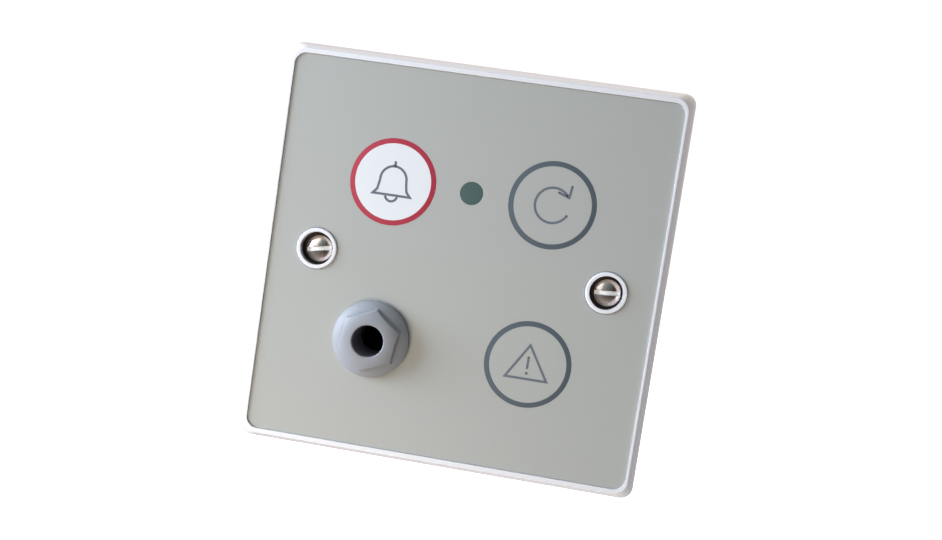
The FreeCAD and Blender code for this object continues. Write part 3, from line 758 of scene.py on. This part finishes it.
def bowed(first, middle, last, points=14):
    """Points on a curve from the first to the last through the middle one."""
    start, end = Vector(first), Vector(last)
    pull = 2 * Vector(middle) - (start + end) / 2
    parts = [i / points for i in range(points + 1)]
    return [tuple(start * (1 - t) ** 2 + pull * 2 * t * (1 - t) + end * t**2) for t in parts]


def turned_ring(outline, x, z, seat):
    """A closed ring turned round the nut's axis from (radius, height) points in millimetres."""
    shape = bmesh.new()
    lathe(shape, [(r * MM, seat - height * MM, 0) for r, height in outline + outline[:1]], x, z)
    bmesh.ops.remove_doubles(shape, verts=shape.verts, dist=weld_gap)
    bmesh.ops.recalc_face_normals(shape, faces=shape.faces)
    return shape


def cut_flats(shape, x, z, seat):
    """Cut the nut's leaning flats."""
    lean = math.radians(nut_lean)
    for i in range(nut_sides):
        turn = math.radians(nut_turn + 360 / nut_sides * (i + 0.5))
        across, up = math.cos(turn), math.sin(turn)
        out = Vector((across * math.cos(lean), -math.sin(lean), up * math.cos(lean)))
        reach = nut_flat * MM
        spot = Vector((x + across * reach, seat - nut_flat_height * MM, z + up * reach))
        everything = shape.verts[:] + shape.edges[:] + shape.faces[:]
        cut = bmesh.ops.bisect_plane(
            shape, geom=everything, plane_co=spot, plane_no=out, clear_outer=True
        )
        rim = [part for part in cut["geom_cut"] if isinstance(part, bmesh.types.BMEdge)]
        bmesh.ops.edgeloop_fill(shape, edges=rim)
    bmesh.ops.recalc_face_normals(shape, faces=shape.faces)


def joined(first, second):
    """The union of two closed shapes."""
    holders = []
    for shape in (first, second):
        mesh = bpy.data.meshes.new("join")
        shape.to_mesh(mesh)
        shape.free()
        holder = bpy.data.objects.new("join", mesh)
        bpy.context.scene.collection.objects.link(holder)
        holders.append(holder)
    union = holders[0].modifiers.new("union", "BOOLEAN")
    union.operation = "UNION"
    union.solver = "EXACT"
    union.object = holders[1]
    graph = bpy.context.evaluated_depsgraph_get()
    result = bmesh.new()
    result.from_mesh(bpy.data.meshes.new_from_object(holders[0].evaluated_get(graph)))
    for holder in holders:
        bpy.data.objects.remove(holder)
    return result


def hex_nut(materials):
    """The moulded nut, whose flats end on its curved skirt."""
    nut = centre_of("jack_nut")
    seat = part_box("jack_nut")[1].y
    crown = turned_ring(bowed(*nut_crown) + nut_inside, nut.x, nut.z, seat)
    cut_flats(crown, nut.x, nut.z, seat)
    skirt = turned_ring(bowed(*nut_skirt) + nut_foot, nut.x, nut.z, seat)
    whole = joined(crown, skirt)
    piece = finished("hex_nut", whole, [materials["nut_grey"]], "plate", nut_sharp)
    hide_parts("jack_nut")


def bore_liner(materials):
    """The smooth grey wall inside the socket."""
    nut = centre_of("jack_nut")
    shape = bmesh.new()
    lathe(shape, [(bore_r, bore_end, 0), (bore_r, bore_mouth, 0)], nut.x, nut.z, small_circle_points)
    finished("bore_liner", shape, [materials["bore_grey"]], "plate")


def threaded_screws(materials):
    """The fixing screws' packed heads and necks on shanks with a real thread."""
    source = frame["nodes"]["fixing_screws"]
    shape = bmesh.new()
    shape.from_mesh(source.data)
    shape.transform(source.matrix_world)
    end = max(vert.co.y for vert in shape.verts)
    middles = []
    for side in (-1, 1):
        xs = [vert.co.x for vert in shape.verts if vert.co.x * side > 0]
        middles.append((min(xs) + max(xs)) / 2)
    shank = [vert for vert in shape.verts if vert.co.y > thread_start + thread_overlap]
    bmesh.ops.delete(shape, geom=shank, context="VERTS")
    for middle in middles:
        thread(shape, middle, end)
    screws = finished("threaded_screws", shape, [materials["nickel"]], "plate")
    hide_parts("fixing_screws")


def thread(shape, x, end):
    """A right-handed thread along the depth, with a run-in and a tapered tip."""
    rows = round((end - thread_start) / thread_pitch * thread_rows)
    rings = []
    for row in range(rows + 1):
        y = thread_start + (end - thread_start) * row / rows
        run_in = min(1.0, (y - thread_start) / thread_pitch)
        taper = max(0.0, y - (end - thread_tip))
        ring = []
        for i in range(thread_steps):
            turn = 2 * math.pi * i / thread_steps
            phase = ((y - thread_start) / thread_pitch + i / thread_steps) % 1
            cut = (abs(2 * phase - 1) - thread_crest) / (1 - 2 * thread_crest)
            cut = min(1.0, max(0.0, cut))
            r = thread_r - thread_depth * (1 - run_in + run_in * cut) - taper
            ring.append(shape.verts.new((x + r * math.cos(turn), y, r * math.sin(turn))))
        rings.append(ring)
    for near, far in zip(rings, rings[1:]):
        for i in range(thread_steps):
            j = (i + 1) % thread_steps
            shape.faces.new((near[i], near[j], far[j], far[i]))
    tip = shape.faces.new(rings[-1])
    face_towards([tip], BACK)


# Switches


def snap_domes(materials):
    """The switches' snap domes, rebuilt from their packed meshes."""
    for key in keys:
        node = key + "_switch_dome"
        source = frame["nodes"][node]
        shape = bmesh.new()
        shape.from_mesh(source.data)
        shape.transform(source.matrix_world)
        dome = finished(key + "_snap_dome", shape, [materials["cover_steel"]], "plate")
        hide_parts(node)
        seat = centre_of(node)
        seat.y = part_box(node)[1].y
        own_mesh(dome)


# Board


def leg_spots():
    """Where legs come through the board: those soldered at its back, then those at its front."""
    back = []
    for key in keys:
        middle = centre_of(key + "_switch_base")
        for across in (-1, 1):
            for up in (-1, 1):
                back.append((middle.x + across * switch_leg_x, middle.z + up * switch_leg_z))
    lamp = centre_of("indicator_led")
    can = centre_of("capacitor")
    front = [(link_x, z) for z in link_z]
    for side in (-1, 1):
        back.append((lamp.x + side * lamp_leg_pitch / 2, lamp.z))
        front.append((can.x + side * can_leg_pitch / 2, can.z))
    front += [((i - (block_ways - 1) / 2) * block_pitch, 0.0) for i in range(block_ways)]
    return back, front


def solder_rings(shape, spots, outline, face, side, points=solder_points):
    """One turned piece of solder at each spot, on the board's front or back."""
    profile = [(r * MM, face + side * height * MM, 0) for r, height in outline]
    for x, z in spots:
        lathe(shape, profile, x, z, points)


def solder_joints(materials):
    """A fillet of solder round each leg, the pads on its other side, and the small rings of the vias."""
    low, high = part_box("circuit_board")
    back, front = leg_spots()
    shape = bmesh.new()
    solder_rings(shape, back, solder_shape, high.y, BACK)
    solder_rings(shape, front, solder_shape, low.y, FRONT)
    solder_rings(shape, back, pad_shape, low.y, FRONT)
    solder_rings(shape, front, pad_shape, high.y, BACK)
    solder_rings(shape, in_mm(vias), via_shape, high.y, BACK, via_points)
    bmesh.ops.recalc_face_normals(shape, faces=shape.faces)
    finished("solder_joints", shape, [materials["tinned"]], "plate", solder_sharp)


def board_tracks(materials):
    """Copper tracks under the solder mask on the board's back."""
    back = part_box("circuit_board")[1].y
    shape = bmesh.new()
    for track in tracks:
        ribbon(shape, in_mm(track), track_width, back + track_rise, BACK)
    finished("board_tracks", shape, [materials["track_green"]], "plate")


def resistor_corners():
    """The left and lower corner of each resistor."""
    low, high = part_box("resistors")
    across = (high.x - low.x - resistor_length) / (resistor_columns - 1)
    up = (high.z - low.z - resistor_width) / (resistor_rows - 1)
    return [
        (low.x + across * column, low.z + up * row)
        for row in range(resistor_rows) for column in range(resistor_columns)
    ]


def board_print(materials):
    """White outlines round the parts on the board's back."""
    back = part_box("circuit_board")[1].y + silk_rise
    shape = bmesh.new()
    for node, margin in print_margins.items():
        outline_box(shape, *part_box(node), margin, back)
    can = centre_of("capacitor")
    ribbon(shape, circle(can.x, can.z, can_print_r, 48), silk_line, back, BACK, closed=True)
    for x, z in resistor_corners():
        corner = Vector((x, 0, z))
        opposite = Vector((x + resistor_length, 0, z + resistor_width))
        outline_box(shape, corner, opposite, resistor_margin, back)
    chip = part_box("controller_chip")[0]
    dot(shape, chip.x - pin_mark_gap, chip.z + pin_mark_gap, pin_mark_r, back, BACK)
    finished("board_print", shape, [materials["silk_white"]], "plate")


def outline_box(shape, low, high, margin, y):
    """A printed rectangle round a part."""
    x0, x1, z0, z1 = low.x - margin, high.x + margin, low.z - margin, high.z + margin
    corners = [(x0, z0), (x1, z0), (x1, z1), (x0, z1)]
    ribbon(shape, corners, silk_line, y, BACK, closed=True)


def chip_leg(shape, x, body, side, face):
    """The tinned skin of one gull-wing leg: its shoulder, its drop and its toe."""
    half = chip_leg_width / 2 + metal_skin
    knee = body + side * chip_leg_reach / 2
    toe = body + side * (chip_leg_reach + chip_toe)
    inside = knee - side * chip_leg_thick
    shoulder = face + chip_leg_shoulder
    spans = (
        (body, knee + side * metal_skin, shoulder - chip_leg_thick - metal_skin, shoulder + metal_skin),
        (inside - side * metal_skin, knee + side * metal_skin, face, shoulder),
        (inside, toe, face, face + chip_leg_thick + metal_skin),
    )
    for first, second, near_y, far_y in spans:
        near, far = sorted((first, second))
        bar(shape, (x - half, near_y, near), (x + half, far_y, far))


def tinned_ends(materials):
    """Bright metal over the chip's legs and the resistors' ends."""
    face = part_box("circuit_board")[1].y
    shape = bmesh.new()
    middle = centre_of("controller_chip")
    for i in range(chip_legs):
        x = middle.x + (i - (chip_legs - 1) / 2) * chip_pitch
        for side in (-1, 1):
            chip_leg(shape, x, middle.z + side * chip_width / 2, side, face)
    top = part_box("resistors")[1].y + metal_skin
    for x, z in resistor_corners():
        for start in (x, x + resistor_length - resistor_end):
            low = (start - metal_skin, face, z - metal_skin)
            bar(shape, low, (start + resistor_end + metal_skin, top, z + resistor_width + metal_skin))
    finished("tinned_ends", shape, [materials["tinned"]], "plate")


# Stage


def pale_floor():
    """A plain pale floor under the object."""
    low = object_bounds()[0].z
    mesh = bpy.data.meshes.new("floor")
    half = floor_size / 2
    corners = [(-half, -half, 0), (half, -half, 0), (half, half, 0), (-half, half, 0)]
    mesh.from_pydata(corners, [], [(0, 1, 2, 3)])
    pale = bpy.data.materials.new("floor_paint")
    pale.use_nodes = True
    shader = pale.node_tree.nodes["Principled BSDF"]
    shader.inputs["Base Color"].default_value = floor_colour
    shader.inputs["Roughness"].default_value = floor_rough
    shader.inputs["Emission Color"].default_value = (1, 1, 1, 1)
    shader.inputs["Emission Strength"].default_value = floor_glow
    mesh.materials.append(pale)
    floor = bpy.data.objects.new("floor", mesh)
    bpy.context.scene.collection.objects.link(floor)
    floor.location.z = low - floor_drop
    floor.visible_diffuse = False
    floor.visible_glossy = False
    floor.visible_shadow = False


def studio():
    """Light from all round in wide lobes, and plain white behind the object."""
    world = bpy.data.worlds.new("studio")
    bpy.context.scene.world = world
    world.use_nodes = True
    nodes, links = world.node_tree.nodes, world.node_tree.links
    nodes.clear()
    place = nodes.new("ShaderNodeTexCoord").outputs["Generated"]
    total = None
    for axis, colour in studio_lobes:
        along = nodes.new("ShaderNodeVectorMath")
        along.operation = "DOT_PRODUCT"
        along.inputs[1].default_value = axis
        links.new(place, along.inputs[0])
        lobe = number(nodes, links, "MAXIMUM", along.outputs["Value"], 0.0)
        lobe = number(nodes, links, "MULTIPLY", lobe, lobe)
        tinted = nodes.new("ShaderNodeVectorMath")
        tinted.operation = "SCALE"
        tinted.inputs[0].default_value = colour
        links.new(lobe, tinted.inputs["Scale"])
        lit = tinted.outputs["Vector"]
        total = lit if total is None else added(nodes, links, total, lit)
    light = nodes.new("ShaderNodeBackground")
    links.new(total, light.inputs["Color"])
    white = nodes.new("ShaderNodeBackground")
    white.inputs["Color"].default_value = (1, 1, 1, 1)
    white.inputs["Strength"].default_value = backdrop_light
    path = nodes.new("ShaderNodeLightPath")
    mix = nodes.new("ShaderNodeMixShader")
    links.new(path.outputs["Is Camera Ray"], mix.inputs["Fac"])
    links.new(light.outputs["Background"], mix.inputs[1])
    links.new(white.outputs["Background"], mix.inputs[2])
    output = nodes.new("ShaderNodeOutputWorld")
    links.new(mix.outputs["Shader"], output.inputs["Surface"])


def number(nodes, links, operation, first, second):
    """One calculation with two values, each a link or a number."""
    node = nodes.new("ShaderNodeMath")
    node.operation = operation
    for socket, value in zip(node.inputs, (first, second)):
        if isinstance(value, float):
            socket.default_value = value
        else:
            links.new(value, socket)
    return node.outputs["Value"]


def added(nodes, links, first, second):
    """The sum of two colours."""
    node = nodes.new("ShaderNodeVectorMath")
    node.operation = "ADD"
    links.new(first, node.inputs[0])
    links.new(second, node.inputs[1])
    return node.outputs["Vector"]


def soft_light(name, place, size, power, colour, lights, mirrored):
    """A square soft light that looks at the object, for its light, its reflection or both."""
    lamp = bpy.data.lights.new(name, "AREA")
    lamp.shape = "SQUARE"
    lamp.size = size
    lamp.energy = power
    lamp.color = colour
    holder = bpy.data.objects.new(name, lamp)
    bpy.context.scene.collection.objects.link(holder)
    holder.location = place
    holder.rotation_euler = (-Vector(place)).to_track_quat("-Z", "Y").to_euler()
    holder.visible_diffuse = lights
    holder.visible_glossy = mirrored


def camera():
    """The photograph's camera."""
    view = bpy.data.cameras.new("camera")
    view.lens = camera_lens
    view.sensor_width = camera_sensor
    view.clip_start, view.clip_end = camera_range
    holder = bpy.data.objects.new("camera", view)
    bpy.context.scene.collection.objects.link(holder)
    holder.location = camera_place
    holder.rotation_euler = [math.radians(turn) for turn in camera_turn]
    bpy.context.scene.camera = holder
    bpy.context.scene.view_settings.view_transform = "Standard"


clear_scene()
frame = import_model()
printed_nodes = [node for node in frame["nodes"] if node.endswith(("_ring", "_field"))]
keys = [node[: -len("_ring")] for node in printed_nodes if node.endswith("_ring")]
materials = make_materials()
for node in frame["nodes"].values():
    for holder in node.material_slots:
        holder.material = materials[holder.material.name.split(".")[0]]
camera()
film_sheet(materials)
for key in keys:
    for piece in (key_zone(key, materials), key_legend(key, materials)):
        seat = centre_of(key + "_ring")
        seat.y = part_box(key + "_ring")[1].y
        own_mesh(piece)
window_lens(materials)
threaded_screws(materials)
painted_well_shade(materials)
painted_slot_highlights(materials)
hex_nut(materials)
bore_liner(materials)
snap_domes(materials)
solder_joints(materials)
board_tracks(materials)
board_print(materials)
tinned_ends(materials)
pale_floor()
studio()
for name, lamp in lamps.items():
    soft_light(name, *lamp)
